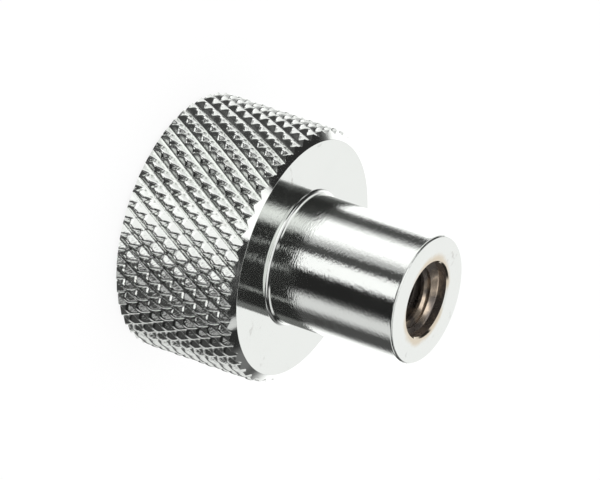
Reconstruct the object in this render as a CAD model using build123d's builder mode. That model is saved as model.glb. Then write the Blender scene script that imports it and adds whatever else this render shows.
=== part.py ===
from build123d import *
from math import ceil, cos, pi, radians, sin, tan
import os

# A knurled knob turned from one bar: a head with a diamond knurl, a plain neck with a chamfered
# end, and a counterbored blind thread up the middle of the neck.
# Millimetres. The knob stands on its head: +Z runs up its axis and out of the neck, and the
# origin is the centre of the flat face that it stands on.

# Head
head_diameter = 19.05
head_height = 10.1
chamfer_width = 0.75
chamfer_slope = 30

# Diamond knurl: the teeth in each of its two crossing sets of grooves, the angle of the grooves
# to the axis and of their V, the flat left between two grooves, and how far the pattern is
# shifted down the head, in rows
knurl_teeth = 50
knurl_helix = 31
knurl_form = 90
knurl_flat = 0.2
knurl_phase = 0.94

# Neck, with the fillet at its root and the chamfer of its free end
neck_diameter = 9.6
neck_length = 10.45
root_fillet = 0.35
end_chamfer = 0.2

# Bore: a counterbore and a blind hole for the thread, each made by a drill with a cone point
counterbore_diameter = 5.56
counterbore_depth = 0.75
mouth_chamfer = 0.12
tap_drill_diameter = 4.04
tap_drill_depth = 12
drill_point = 118

# Outside of the knurl, where the chamfers run out
clearance = 0.5

head_radius = head_diameter / 2
face_radius = head_radius - chamfer_width
neck_radius = neck_diameter / 2
neck_end = head_height + neck_length

# Sizes of the knurl that follow from its teeth
tooth_angle = 2 * pi / knurl_teeth
tooth_pitch = pi * head_diameter / knurl_teeth
row_height = tooth_pitch / 2 / tan(radians(knurl_helix))
groove_pitch = tooth_pitch * cos(radians(knurl_helix))
groove_slope = tan(radians(knurl_form / 2))
root_radius = head_radius - (groove_pitch - knurl_flat) / 2 / groove_slope
apex_radius = head_radius + knurl_flat / 2 / groove_slope


def outward(tooth):
    """Direction away from the axis at a place counted in teeth round the head."""
    return Vector(cos(tooth * tooth_angle), sin(tooth * tooth_angle), 0)


def knurl_point(radius, tooth, row):
    """Point of the pattern. Its first row lies below the head by the phase and one row."""
    return outward(tooth) * radius + Vector(0, 0, (row - 1 - knurl_phase) * row_height)


def polygon(*corners):
    return Face(Wire.make_polygon(corners))


def diamond(tooth, row):
    """Faces of one diamond: four sides that rise from the grooves, and the flat on its tip."""
    apex = knurl_point(apex_radius, tooth, row)
    places = [(tooth + 0.5, row), (tooth, row + 1), (tooth - 0.5, row), (tooth, row - 1)]
    base = [knurl_point(root_radius, *place) for place in places]
    flat = []
    for corner in base:
        share = (apex_radius - head_radius) / (apex_radius - corner.dot(outward(tooth)))
        flat.append(apex + (corner - apex) * share)
    sides = [polygon(base[i - 1], base[i], flat[i], flat[i - 1]) for i in range(len(base))]
    return sides + [polygon(*flat)]


def knurled_bar():
    """Bar with the knurl all round it, longer than the head, closed by a low cone at each end."""
    last = ceil(head_height / row_height + knurl_phase) + 2
    faces = []
    for row in range(1, last):
        for tooth in range(knurl_teeth):
            faces += diamond(tooth + row % 2 / 2, row)
    for end, inner in ((0, 1), (last, last - 1)):
        pole = knurl_point(0, 0, end)
        for place in range(knurl_teeth):
            tooth = place + (end + 1) % 2 / 2
            tip = knurl_point(root_radius, tooth, end)
            for side in (tooth - 0.5, tooth + 0.5):
                faces.append(polygon(tip, knurl_point(root_radius, side, inner), pole))
    return Solid(Shell(faces))


def drill_cone(radius):
    """Height of the cone that a drill leaves between a radius and its own axis."""
    return radius / tan(radians(drill_point / 2))


with BuildPart() as knurled_knob:
    add(knurled_bar())

    # Both faces of the head and their chamfers, which cut the ends of the knurl
    chamfer_end = (chamfer_width + clearance) * tan(radians(chamfer_slope))
    with BuildSketch(Plane.XZ):
        with BuildLine():
            Polyline(
                (0, 0),
                (face_radius, 0),
                (head_radius + clearance, chamfer_end),
                (head_radius + clearance, head_height - chamfer_end),
                (face_radius, head_height),
                (0, head_height),
                close=True,
            )
        make_face()
    revolve(axis=Axis.Z, mode=Mode.INTERSECT)

    # Neck
    with BuildSketch(Plane.XZ):
        with BuildLine():
            Line((0, head_height), (neck_radius + root_fillet, head_height))
            TangentArc(
                (neck_radius + root_fillet, head_height),
                (neck_radius, head_height + root_fillet),
                tangent=(-1, 0),
            )
            Polyline(
                (neck_radius, head_height + root_fillet),
                (neck_radius, neck_end - end_chamfer),
                (neck_radius - end_chamfer, neck_end),
                (0, neck_end),
                (0, head_height),
            )
        make_face()
    revolve(axis=Axis.Z)

    # Bore
    bore_radius = counterbore_diameter / 2
    tap_radius = tap_drill_diameter / 2
    counterbore_end = neck_end - counterbore_depth
    tap_end = neck_end - tap_drill_depth
    with BuildSketch(Plane.XZ):
        with BuildLine():
            Polyline(
                (0, neck_end),
                (bore_radius + mouth_chamfer, neck_end),
                (bore_radius, neck_end - mouth_chamfer),
                (bore_radius, counterbore_end),
                (tap_radius, counterbore_end - drill_cone(bore_radius - tap_radius)),
                (tap_radius, tap_end),
                (0, tap_end - drill_cone(tap_radius)),
                close=True,
            )
        make_face()
    revolve(axis=Axis.Z, mode=Mode.SUBTRACT)

knurled_knob.part.label = "knurled_knob"

os.makedirs("parts", exist_ok=True)
export_step(knurled_knob.part, "parts/knurled_knob.step")
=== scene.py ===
from math import ceil, cos, floor, pi, radians, sin, tan

import bpy
import numpy as np
from mathutils import Matrix, Vector


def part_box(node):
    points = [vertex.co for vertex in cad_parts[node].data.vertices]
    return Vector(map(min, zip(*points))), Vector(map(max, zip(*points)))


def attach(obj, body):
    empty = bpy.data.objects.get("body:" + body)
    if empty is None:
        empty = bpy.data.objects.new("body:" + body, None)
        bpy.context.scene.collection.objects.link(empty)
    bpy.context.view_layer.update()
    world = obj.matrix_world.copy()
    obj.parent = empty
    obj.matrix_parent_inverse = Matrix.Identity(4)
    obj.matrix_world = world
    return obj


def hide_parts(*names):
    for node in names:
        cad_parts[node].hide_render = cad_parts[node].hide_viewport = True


# A knurled knob, turned from one bar and plated. It stands on its head, with its neck upwards.
# Lengths are in metres.

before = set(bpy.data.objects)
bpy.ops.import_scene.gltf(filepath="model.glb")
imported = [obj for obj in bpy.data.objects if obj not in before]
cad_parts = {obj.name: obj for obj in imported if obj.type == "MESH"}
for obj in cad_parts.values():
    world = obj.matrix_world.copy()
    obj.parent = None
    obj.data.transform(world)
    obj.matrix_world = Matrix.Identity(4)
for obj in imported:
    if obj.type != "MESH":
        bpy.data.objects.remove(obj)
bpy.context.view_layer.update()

mm = 0.001
low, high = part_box("knurled_knob")
head_radius = high.x
neck_end = high.z

# Head
head_height = 10.1 * mm
chamfer_width = 0.75 * mm
chamfer_slope = 30

# Diamond knurl, as in the solid: the teeth in each of its two crossing sets of grooves, the angle
# of the grooves to the axis and of their V, the flat left between two grooves, and how far the
# pattern is shifted down the head, in rows
knurl_teeth = 50
knurl_helix = 31
knurl_form = 90
knurl_flat = 0.2 * mm
knurl_phase = 0.94

# What the knurling wheels left: teeth that lean to one side by a share of their pitch, and whose
# tips, ridges, crests and groove bottoms are rounded. The tips reach past the crests by a factor
# before the rounding. One set of grooves is shallower, and the other is shifted by a share of its
# pitch. The unevenness is smaller at the bottom of the grooves, by the share given.
tooth_lean = 0.07
tooth_rounding = 0.08 * mm
ridge_rounding = 0.14 * mm
crest_rounding = 0.06 * mm
groove_rounding = 0.05 * mm
tooth_overshoot = 1.02
shallow_lift = 0.13 * mm
groove_shift = 0.08
knurl_unevenness = 0.012 * mm
groove_unevenness = 0.3

# Steps of the mesh from one groove to the next
knurl_steps = 12

# Neck, its root and the edge of its end
neck_radius = 4.8 * mm
root_fillet = 0.35 * mm
end_rounding = 0.15 * mm
edge_rounding = 0.05 * mm

# Bore: counterbore, tap drill with its cone point, and thread
bore_radius = 2.78 * mm
counterbore_depth = 0.75 * mm
mouth_chamfer = 0.12 * mm
tap_radius = 2.02 * mm
tap_drill_depth = 12 * mm
drill_point = 118
thread_radius = 2.415 * mm
thread_pitch = 0.794 * mm
thread_turns = 13

# Turning marks: their width, that width as a share of their length, and their depth
mark_width = 0.1 * mm
mark_stretch = 0.35
face_marks = 0.0015 * mm
knurl_marks = 0.012 * mm
neck_marks = 0.0125 * mm

# Smudges: how many come to a metre, and how much of their colour they give each finish
smudge_scale = 450
face_smudges = 0.5
knurl_smudges = 0.3
neck_smudges = 0.3

# Stain round the mouth: its strength, the radii between which it fades out, how ragged its edge
# is, how much narrower it gets to either side, and how far it reaches down the neck
stain_strength = 0.65
stain_inner = 2.85 * mm
stain_outer = 3.3 * mm
stain_raggedness = 0.8 * mm
stain_narrowing = 0.2
stain_depth = 0.1 * mm

# Grime in the bore: how many patches come to a metre, and how metallic it is
grime_scale = 600
grime_metallic = 0.85

# Colours of the metal
plating_colour = (0.855, 0.875, 0.848, 1)
dirt_colour = (0.42, 0.40, 0.37, 1)
stain_colour = (0.66, 0.52, 0.34, 1)
grime_colour = (0.28, 0.245, 0.22, 1)
bare_colour = (0.80, 0.66, 0.52, 1)

# How far a cutting tool reaches past what it cuts, and how near a rounding its flats are held
clearance = 0.5 * mm
hold = 0.03 * mm

# Steps round the axis, and the angle from which an edge shows as sharp
lathe_segments = 240
thread_segments = 80
sharp_angle = 28

# The finishes, in the order of the knob's materials
face_finish, knurl_finish, bore_finish, neck_finish = range(4)

# Floor, and the white that the eye sees in place of its shading, with the share of that white
floor_reach = 1.5
floor_white = 1.04
floor_white_share = 0.85

# Light where no card hangs, and how far the edges of the cards waver, in degrees
base_light = 0.028
card_waver = 8

# The photograph's view: direction to the camera and roll in degrees, and its place across the view
camera_azimuth = -7.39
camera_elevation = 26.78
camera_roll = 108.74
camera_offset = (-0.185 * mm, 1.254 * mm, 753.96 * mm)
camera_lens = 634.06


def new_object(name, vertices, faces):
    mesh = bpy.data.meshes.new(name)
    mesh.from_pydata(vertices, [], faces)
    mesh.update()
    piece = bpy.data.objects.new(name, mesh)
    bpy.context.scene.collection.objects.link(piece)
    return piece


def rounded(corners, steps):
    """Outline through corners (r, z, rounding), each rounded by a tangent arc."""
    outline = []
    for i, (r, z, rounding) in enumerate(corners):
        corner = Vector((r, z))
        if not rounding:
            outline.append(corner)
            continue
        back = (Vector(corners[i - 1][:2]) - corner).normalized()
        onward = (Vector(corners[i + 1][:2]) - corner).normalized()
        half = back.angle(onward) / 2
        centre = corner + (back + onward).normalized() * rounding / sin(half)
        start = corner + back * rounding / tan(half)
        end = corner + onward * rounding / tan(half)
        outline.append(start + back * hold)
        for step in range(steps + 1):
            turn = (pi - 2 * half) * step / steps
            spoke = (start - centre) * sin(pi - 2 * half - turn) + (end - centre) * sin(turn)
            outline.append(centre + spoke / sin(2 * half))
        outline.append(end + onward * hold)
    return outline


def ring_faces(lower, upper):
    """Quads between two rings of vertex numbers, facing out where the upper ring comes later."""
    faces = []
    for i in range(len(lower)):
        j = (i + 1) % len(lower)
        faces.append((lower[i], lower[j], upper[j], upper[i]))
    return faces


def fan_faces(centre, loop):
    return [(centre, loop[i], loop[(i + 1) % len(loop)]) for i in range(len(loop))]


def lathe(name, outline):
    """Closed solid turned from an outline that starts on the axis and comes back to it higher up."""
    rings, vertices = [], []
    for r, z in outline[1:-1]:
        start = len(vertices)
        rings.append(range(start, start + lathe_segments))
        for i in range(lathe_segments):
            angle = 2 * pi * i / lathe_segments
            vertices.append((r * cos(angle), r * sin(angle), z))
    faces = []
    for lower, upper in zip(rings, rings[1:]):
        faces += ring_faces(lower, upper)
    faces += fan_faces(len(vertices), rings[0][::-1])
    faces += fan_faces(len(vertices) + 1, rings[-1])
    vertices += [(0, 0, outline[0][1]), (0, 0, outline[-1][1])]
    return new_object(name, vertices, faces)


def knob_outline():
    """Outline of the whole knob, with the head left wide of the chamfers, where the knurl ends it."""
    rise = (chamfer_width + clearance) * tan(radians(chamfer_slope))
    face_radius = head_radius - chamfer_width
    outer = head_radius + clearance
    corners = [
        (0, 0, 0),
        (face_radius, 0, edge_rounding),
        (outer, rise, 0),
        (outer, head_height - rise, 0),
        (face_radius, head_height, edge_rounding),
        (neck_radius, head_height, root_fillet),
        (neck_radius, neck_end, end_rounding),
        (0, neck_end, 0),
    ]
    return rounded(corners, steps=8)


def drill_outline():
    """Tap drill with its cone, counterbore and the chamfer of the mouth, as one cutting tool."""
    cone = tan(radians(drill_point / 2))
    floor_height = neck_end - counterbore_depth
    drill_end = neck_end - tap_drill_depth
    corners = [
        (0, drill_end - tap_radius / cone, 0),
        (tap_radius, drill_end, 0),
        (tap_radius, floor_height - (bore_radius - tap_radius) / cone, 0),
        (bore_radius, floor_height, edge_rounding * 2),
        (bore_radius, neck_end - mouth_chamfer, 0),
        (bore_radius + mouth_chamfer + clearance, neck_end + clearance, 0),
        (0, neck_end + clearance, 0),
    ]
    return rounded(corners, steps=6)


def thread_cutter():
    """Screw of the tap's size, whose crests cut the thread into the drilled hole."""
    inner = tap_radius - hold

    # One turn of the form, as shares of the pitch downwards and the radius there
    form = [(0, thread_radius), (0.1, thread_radius), (0.4, inner), (0.66, inner), (0.96, thread_radius)]
    turn = len(form)
    last = turn * thread_turns
    top = neck_end - counterbore_depth + thread_pitch
    vertices = []
    for row in range(last + 1):
        share, radius = form[row % turn]
        for i in range(thread_segments):
            angle = 2 * pi * i / thread_segments
            drop = (row // turn + share + i / thread_segments) * thread_pitch
            vertices.append((radius * cos(angle), radius * sin(angle), top - drop))

    def place(row, column):
        """Vertex of the strip, which carries on one turn lower after its last column."""
        if column == thread_segments:
            row, column = row + turn, 0
        return row * thread_segments + column

    faces = []
    for row in range(last):
        columns = thread_segments if row + turn < last else thread_segments - 1
        for i in range(columns):
            faces.append((place(row + 1, i), place(row + 1, i + 1), place(row, i + 1), place(row, i)))
    top_loop = [place(0, i) for i in range(thread_segments)]
    top_loop += [place(row, 0) for row in range(turn, 0, -1)]
    end_column = thread_segments - 1
    bottom_loop = [place(last, i) for i in range(thread_segments)]
    bottom_loop += [place(row, end_column) for row in range(last - 1, last - turn - 1, -1)]
    faces += fan_faces(len(vertices), top_loop)
    faces += fan_faces(len(vertices) + 1, bottom_loop[::-1])
    vertices += [(0, 0, top), (0, 0, top - (thread_turns + 1) * thread_pitch)]
    return new_object("thread_cutter", vertices, faces)


def value_noise(rng, u, v, columns):
    """Smooth noise from -1 to 1 that repeats along u after so many columns."""
    first = floor(v.min())
    grid = rng.uniform(-1, 1, (columns, ceil(v.max()) - first + 2))
    i, j = np.floor(u).astype(int), np.floor(v).astype(int)
    s, t = u - i, v - j
    s, t = s * s * (3 - 2 * s), t * t * (3 - 2 * t)
    i0, i1, j0 = i % columns, (i + 1) % columns, j - first
    lower = grid[i0, j0] * (1 - s) + grid[i1, j0] * s
    upper = grid[i0, j0 + 1] * (1 - s) + grid[i1, j0 + 1] * s
    return lower * (1 - t) + upper * t


def smooth_min(a, b, reach):
    blend = np.maximum(reach - np.abs(a - b), 0) / reach
    return np.minimum(a, b) - blend * blend * reach / 4


def knurl_rise(u, v, groove_pitch):
    """Height over the bottom of the grooves, which run along the whole numbers of u and v."""
    slope = tan(radians(knurl_form / 2))
    sides = []
    for place in (u, v):
        off = place - np.floor(place) - 0.5 - tooth_lean
        off *= groove_pitch / 2 / np.where(off < 0, 0.5 + tooth_lean, 0.5 - tooth_lean)
        away = np.hypot(groove_pitch / 2, tooth_rounding) - np.hypot(off, tooth_rounding)
        sides.append((np.hypot(away, groove_rounding) - groove_rounding) / slope)
    return smooth_min(sides[0] + shallow_lift, sides[1], ridge_rounding)


def knurled_blank():
    """Closed blank with the knurl all round it, and above that a plain collar round the neck."""
    rng = np.random.default_rng(7)
    tooth_pitch = 2 * pi * head_radius / knurl_teeth
    row_height = tooth_pitch / 2 / tan(radians(knurl_helix))
    groove_pitch = tooth_pitch * cos(radians(knurl_helix))
    crest = (groove_pitch - knurl_flat) / 2 / tan(radians(knurl_form / 2))
    count = knurl_teeth * knurl_steps
    first = floor((knurl_phase - clearance / row_height) * knurl_steps)
    last = ceil((knurl_phase + (head_height + clearance) / row_height) * knurl_steps)
    row, column = np.meshgrid(np.arange(first, last + 1), np.arange(count), indexing="ij")
    turn = 2 * column + row % 2
    u, v = (turn + row) / 2 / knurl_steps, (turn - row) / 2 / knurl_steps
    rise = knurl_rise(u, v + groove_shift, groove_pitch)
    rise *= tooth_overshoot * crest / rise.max()
    rise = smooth_min(rise, np.full_like(rise, crest), crest_rounding)

    # No two diamonds are quite alike
    around, along = turn / 2 / knurl_steps, row / knurl_steps
    for scale in (1, 3):
        noise = value_noise(rng, around * scale, along * scale, knurl_teeth * scale)
        rise += noise * knurl_unevenness / scale * (groove_unevenness + rise / crest)
    radius = np.minimum(head_radius - rise.max() + rise, head_radius)
    angle = turn * pi / count
    height = (row / knurl_steps - knurl_phase) * row_height
    vertices = np.stack([radius * np.cos(angle), radius * np.sin(angle), height], 2).reshape(-1, 3)

    # Triangles meet along the ridges of the diamonds
    faces = []
    rows = last - first
    for r in range(rows + 1):
        odd = (first + r) % 2
        for c in range(count):
            left, right = r * count + c, r * count + (c + 1) % count
            over = (c + odd) % count
            up, down = (r + 1) * count + over, (r - 1) * count + over
            if r == 0:
                faces.append((left, right, up))
            elif r == rows:
                faces.append((left, down, right))
            else:
                du = (u[r, c] + 0.5 / knurl_steps) % 1 - 0.5
                dv = (v[r, c] + 0.5 / knurl_steps) % 1 - 0.5
                if du * dv > 0:
                    faces += [(left, right, up), (left, down, right)]
                else:
                    faces += [(left, down, up), (down, right, up)]

    # Collar and end caps
    collar_radius = (neck_radius + head_radius) / 2
    vertices = vertices.tolist()
    top_ring = range(rows * count, rows * count + count)
    rings = [top_ring]
    for z in (height[-1, 0], neck_end + clearance):
        start = len(vertices)
        rings.append(range(start, start + count))
        for a in angle[-1]:
            vertices.append((collar_radius * cos(a), collar_radius * sin(a), z))
    faces += ring_faces(rings[0], rings[1]) + ring_faces(rings[1], rings[2])
    faces += fan_faces(len(vertices), range(count)[::-1])
    faces += fan_faces(len(vertices) + 1, rings[2])
    vertices += [(0, 0, height[0, 0]), (0, 0, neck_end + clearance)]
    return new_object("knurled_blank", vertices, faces)


def cut(piece, tool, operation):
    """The piece after one cut with a tool, which is then thrown away."""
    step = piece.modifiers.new("cut", "BOOLEAN")
    step.solver = "MANIFOLD"
    step.operation = operation
    step.object = tool
    depsgraph = bpy.context.evaluated_depsgraph_get()
    mesh = bpy.data.meshes.new_from_object(piece.evaluated_get(depsgraph))
    piece.modifiers.clear()
    piece.data = mesh
    bpy.data.objects.remove(tool)


def build_knob():
    knob = lathe("turned_knob", knob_outline())
    cut(knob, knurled_blank(), "INTERSECT")
    cut(knob, lathe("drill", drill_outline()), "DIFFERENCE")
    cut(knob, thread_cutter(), "DIFFERENCE")
    mesh = knob.data
    mesh.name = knob.name
    mesh.shade_smooth()
    mesh.set_sharp_from_angle(angle=radians(sharp_angle))
    return knob


def sort_faces(knob, materials):
    """Gives each polygon the finish of the faces, the knurl, the bore or the neck."""
    mesh = knob.data
    mesh.materials.clear()
    for material in materials:
        mesh.materials.append(material)
    face_radius = head_radius - chamfer_width
    near = 0.002 * mm
    for polygon in mesh.polygons:
        x, y, z = polygon.center
        r = (x * x + y * y) ** 0.5
        chamfer = max(r - face_radius, 0) * tan(radians(chamfer_slope))
        if r < bore_radius + near and head_height / 2 < z < neck_end - near:
            polygon.material_index = bore_finish
        elif r > face_radius and chamfer + near < z < head_height - chamfer - near:
            polygon.material_index = knurl_finish
        elif bore_radius + clearance < r < neck_radius + near and head_height + hold < z < neck_end - near:
            polygon.material_index = neck_finish
        else:
            polygon.material_index = face_finish


def add_node(tree, kind, inputs=(), **settings):
    """New shader node with its settings and its inputs, each a value or another node's output."""
    node = tree.nodes.new(kind)
    for name, value in settings.items():
        setattr(node, name, value)
    for name, value in inputs:
        if isinstance(value, bpy.types.NodeSocket):
            tree.links.new(value, node.inputs[name])
        else:
            node.inputs[name].default_value = value
    return node


def calc(tree, operation, *values):
    node = add_node(tree, "ShaderNodeMath", enumerate(values), operation=operation)
    return node.outputs[0]


def fade(tree, value, start, end, low=0.0, high=1.0):
    """Soft step from low to high as the value goes from start to end."""
    inputs = [("Value", value), ("From Min", start), ("From Max", end), ("To Min", low), ("To Max", high)]
    node = add_node(tree, "ShaderNodeMapRange", inputs, interpolation_type="SMOOTHSTEP")
    return node.outputs[0]


def mix_values(tree, share, a, b):
    node = add_node(tree, "ShaderNodeMix", [(0, share), (2, a), (3, b)], data_type="FLOAT")
    return node.outputs[0]


def plating(name, mark_depth, smudges):
    """Bright plating with short turning marks, faint smudges and a tan stain round the mouth."""
    material = bpy.data.materials.new(name)
    material.use_nodes = True
    tree = material.node_tree
    shader = tree.nodes["Principled BSDF"]
    shader.inputs["Metallic"].default_value = 1
    place = add_node(tree, "ShaderNodeTexCoord").outputs["Object"]
    x, y, z = add_node(tree, "ShaderNodeSeparateXYZ", [(0, place)]).outputs
    square = calc(tree, "ADD", calc(tree, "MULTIPLY", x, x), calc(tree, "MULTIPLY", y, y))
    radius = calc(tree, "SQRT", square)

    # Marks that the tool left round the axis, stretched along its cut
    across = calc(tree, "DIVIDE", calc(tree, "ADD", radius, z), mark_width)
    spread = mark_stretch / mark_width
    inputs = [(0, calc(tree, "MULTIPLY", x, spread)), (1, calc(tree, "MULTIPLY", y, spread)), (2, across)]
    along_cut = add_node(tree, "ShaderNodeCombineXYZ", inputs).outputs[0]
    inputs = [("Vector", along_cut), ("Scale", 1), ("Detail", 2), ("Roughness", 0.5)]
    marks = add_node(tree, "ShaderNodeTexNoise", inputs).outputs[0]
    inputs = [("Strength", 1), ("Distance", mark_depth), ("Height", marks)]
    bump = add_node(tree, "ShaderNodeBump", inputs).outputs[0]
    tree.links.new(bump, shader.inputs["Normal"])

    # Smudges, which also blunt the shine
    inputs = [("Vector", place), ("Scale", smudge_scale), ("Detail", 3), ("Roughness", 0.6)]
    blots = add_node(tree, "ShaderNodeTexNoise", inputs).outputs[0]
    dirt = fade(tree, blots, 0.64, 0.74, 0, smudges)
    inputs = [(0, dirt), (6, plating_colour), (7, dirt_colour)]
    colour = add_node(tree, "ShaderNodeMix", inputs, data_type="RGBA").outputs[2]
    tree.links.new(fade(tree, blots, 0.3, 0.75, 0.05, 0.13), shader.inputs["Roughness"])

    # Stain, which gets narrower to either side
    aside = calc(tree, "MULTIPLY", calc(tree, "ABSOLUTE", y), stain_narrowing)
    ragged = calc(tree, "ADD", radius, calc(tree, "MULTIPLY", blots, stain_raggedness))
    ragged = calc(tree, "SUBTRACT", ragged, aside)
    near_mouth = fade(tree, ragged, stain_outer, stain_inner)
    near_end = fade(tree, z, neck_end - 2 * stain_depth, neck_end - stain_depth)
    stain = calc(tree, "MULTIPLY", calc(tree, "MULTIPLY", near_mouth, near_end), stain_strength)
    inputs = [(0, stain), (6, colour), (7, stain_colour)]
    colour = add_node(tree, "ShaderNodeMix", inputs, data_type="RGBA").outputs[2]
    tree.links.new(colour, shader.inputs["Base Color"])
    return material


def bore_metal():
    """Dark bare metal of the bore, with patches that still shine."""
    material = bpy.data.materials.new("bore_metal")
    material.use_nodes = True
    tree = material.node_tree
    shader = tree.nodes["Principled BSDF"]
    shader.inputs["Metallic"].default_value = grime_metallic
    place = add_node(tree, "ShaderNodeTexCoord").outputs["Object"]
    inputs = [("Vector", place), ("Scale", grime_scale), ("Detail", 4)]
    grime = add_node(tree, "ShaderNodeTexNoise", inputs).outputs[0]
    patches = fade(tree, grime, 0.52, 0.68)
    inputs = [(0, patches), (6, grime_colour), (7, bare_colour)]
    colour = add_node(tree, "ShaderNodeMix", inputs, data_type="RGBA").outputs[2]
    tree.links.new(colour, shader.inputs["Base Color"])
    tree.links.new(fade(tree, grime, 0.3, 0.7, 0.35, 0.18), shader.inputs["Roughness"])
    return material


# Light cards of the studio, each with its azimuths from the camera's own, its elevations, all in
# degrees, its brightness, the softness of its edges, and how far its azimuths lean for each degree
# of elevation. A later card covers an earlier one.
cards = {
    "ground": ((-180, 180), (-90, -12), 0.075, 20, 0),
    "ground_low": ((-180, 180), (-90, -48), 0.06, 20, 0),
    "low_left": ((-180, -98), (-62, -36), 0.6, 12, 0),
    "low_right": ((100, 150), (-60, -35), 0.14, 14, 0),
    "low_front": ((-62, -42), (-76, -56), 0.12, 8, 0),
    "low_side": ((20, 42), (-76, -58), 0.25, 8, 0),
    "front_haze": ((-45, 60), (0, 20), 0.06, 12, 0),
    "front_gleam": ((-8, 0), (0, 24), 0.6, 5, 0),
    "side_gleam": ((22, 30), (0, 24), 0.5, 5, 0),
    "right_haze": ((132, 160), (22, 38), 0.18, 10, 0),
    "back_right": ((143, 209), (-36, 18), 1.3, 24, 0.5),
    "back_left": ((185, 232), (-45, 25), 1.3, 12, -0.6),
    "back_top": ((173, 187), (10, 35), 0.97, 8, 0),
    "front_top": ((-100, 60), (41, 86), 0.9, 8, 0),
    "right_top": ((50, 108), (41, 80), 0.9, 8, 0),
    "overhead": ((150, 210), (40, 82), 1.0, 10, 0),
    "side_glow": ((-150, -84), (-18, 14), 0.85, 12, 0),
    "left_shade": ((-45, -28), (-42, 10), 0.45, 5, 0),
    "left_window": ((-85, -40), (-42, 14), 1.3, 22, 0),
    "left_upper": ((-72, -41), (-10, 36), 1.02, 22, 0),
    "left_inner": ((-40, -20), (0, 14), 1.1, 8, 0),
    "front_strip": ((-10, 17), (-48, -12), 1.13, 10, 0),
    "front_dark": ((22, 52), (-50, -6), 0.02, 4, 0),
    "right_window": ((61, 90), (-40, -6), 0.74, 18, 0),
    "right_glow": ((66, 123), (-10, 14), 0.85, 12, 0),
    "right_gleam": ((86, 90), (20, 32), 0.45, 5, 0),
    "top": ((-185, -60), (66, 90), 1.2, 3, 0),
    "top_patch": ((121, 130), (51, 55), 0.7, 2, 0),
}


def light_studio():
    """White surroundings for the eye and the floor, and soft-edged cards for bright metal."""
    world = bpy.data.worlds.new("studio")
    bpy.context.scene.world = world
    world.use_nodes = True
    world.cycles.sampling_method = "NONE"
    tree = world.node_tree
    background = tree.nodes["Background"]
    direction = add_node(tree, "ShaderNodeTexCoord").outputs["Generated"]
    split = add_node(tree, "ShaderNodeSeparateXYZ", [(0, direction)]).outputs
    inputs = [("Vector", direction), ("Scale", 5), ("Detail", 2)]
    ripple = add_node(tree, "ShaderNodeTexNoise", inputs).outputs[0]
    ripple = calc(tree, "MULTIPLY", calc(tree, "SUBTRACT", ripple, 0.5), card_waver)
    azimuth = calc(tree, "DEGREES", calc(tree, "ARCTAN2", split[1], split[0]))
    azimuth = calc(tree, "ADD", calc(tree, "SUBTRACT", azimuth, camera_azimuth), ripple)
    elevation = calc(tree, "ADD", calc(tree, "DEGREES", calc(tree, "ARCSINE", split[2])), ripple)
    light = base_light
    for across, upright, brightness, softness, lean in cards.values():
        leaning = calc(tree, "MULTIPLY", calc(tree, "SUBTRACT", elevation, sum(upright) / 2), lean)
        middle = calc(tree, "ADD", leaning, sum(across) / 2)
        off = calc(tree, "WRAP", calc(tree, "SUBTRACT", azimuth, middle), 180, -180)
        half = (across[1] - across[0]) / 2
        side = fade(tree, calc(tree, "ABSOLUTE", off), half + softness / 2, half - softness / 2)
        off = calc(tree, "ABSOLUTE", calc(tree, "SUBTRACT", elevation, sum(upright) / 2))
        half = (upright[1] - upright[0]) / 2
        edge = fade(tree, off, half + softness / 2, half - softness / 2)
        light = mix_values(tree, calc(tree, "MULTIPLY", side, edge), light, brightness)
    glossy = add_node(tree, "ShaderNodeLightPath").outputs["Is Glossy Ray"]
    tree.links.new(mix_values(tree, glossy, 1.0, light), background.inputs["Strength"])
    background.inputs["Color"].default_value = (1, 1, 1, 1)


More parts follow.
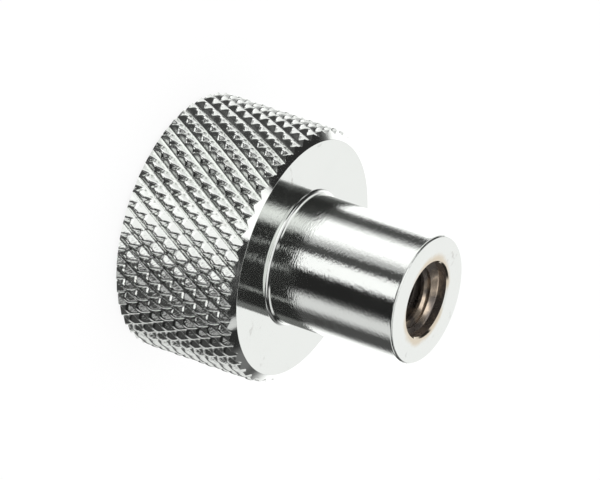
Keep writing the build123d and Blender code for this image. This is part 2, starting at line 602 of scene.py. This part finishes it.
def lay_floor():
    """Pale floor that reads as white and keeps a soft shadow."""
    corners = [(-1, -1), (1, -1), (1, 1), (-1, 1)]
    vertices = [(x * floor_reach, y * floor_reach, 0) for x, y in corners]
    floor_piece = new_object("floor", vertices, [(0, 1, 2, 3)])
    material = bpy.data.materials.new("floor")
    material.use_nodes = True
    tree = material.node_tree
    shader = tree.nodes["Principled BSDF"]
    shader.inputs["Base Color"].default_value = (0.9, 0.9, 0.9, 1)
    shader.inputs["Roughness"].default_value = 0.9
    shader.inputs["Specular IOR Level"].default_value = 0
    inputs = [("Color", (1, 1, 1, 1)), ("Strength", floor_white)]
    glow = add_node(tree, "ShaderNodeEmission", inputs).outputs[0]
    seen = add_node(tree, "ShaderNodeLightPath").outputs["Is Camera Ray"]
    share = calc(tree, "MULTIPLY", seen, floor_white_share)
    inputs = [(0, share), (1, shader.outputs[0]), (2, glow)]
    both = add_node(tree, "ShaderNodeMixShader", inputs).outputs[0]
    tree.links.new(both, tree.nodes["Material Output"].inputs["Surface"])
    floor_piece.data.materials.append(material)
    floor_piece.visible_glossy = False


def place_camera():
    azimuth, elevation = radians(camera_azimuth), radians(camera_elevation)
    roll = Matrix.Rotation(radians(camera_roll), 3, "Z")
    away = Vector((cos(elevation) * cos(azimuth), cos(elevation) * sin(azimuth), sin(elevation)))
    right = Vector((0, 0, 1)).cross(away).normalized()
    upward = away.cross(right)
    turn = Matrix((right, upward, away)).transposed() @ roll
    camera_data = bpy.data.cameras.new("camera")
    camera_data.lens = camera_lens
    camera_data.sensor_width = 36
    camera_data.clip_end = 10
    camera = bpy.data.objects.new("camera", camera_data)
    place = Vector((0, 0, head_height)) + turn @ Vector(camera_offset)
    camera.matrix_world = Matrix.Translation(place) @ turn.to_4x4()
    bpy.context.scene.collection.objects.link(camera)
    bpy.context.scene.camera = camera


place_camera()
light_studio()
lay_floor()
knob = build_knob()
face_plating = plating("face_plating", face_marks, face_smudges)
knurled_plating = plating("knurled_plating", knurl_marks, knurl_smudges)
neck_plating = plating("neck_plating", neck_marks, neck_smudges)
sort_faces(knob, [face_plating, knurled_plating, bore_metal(), neck_plating])
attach(knob, "root")
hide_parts("knurled_knob")

bpy.context.scene.view_settings.view_transform = "Standard"
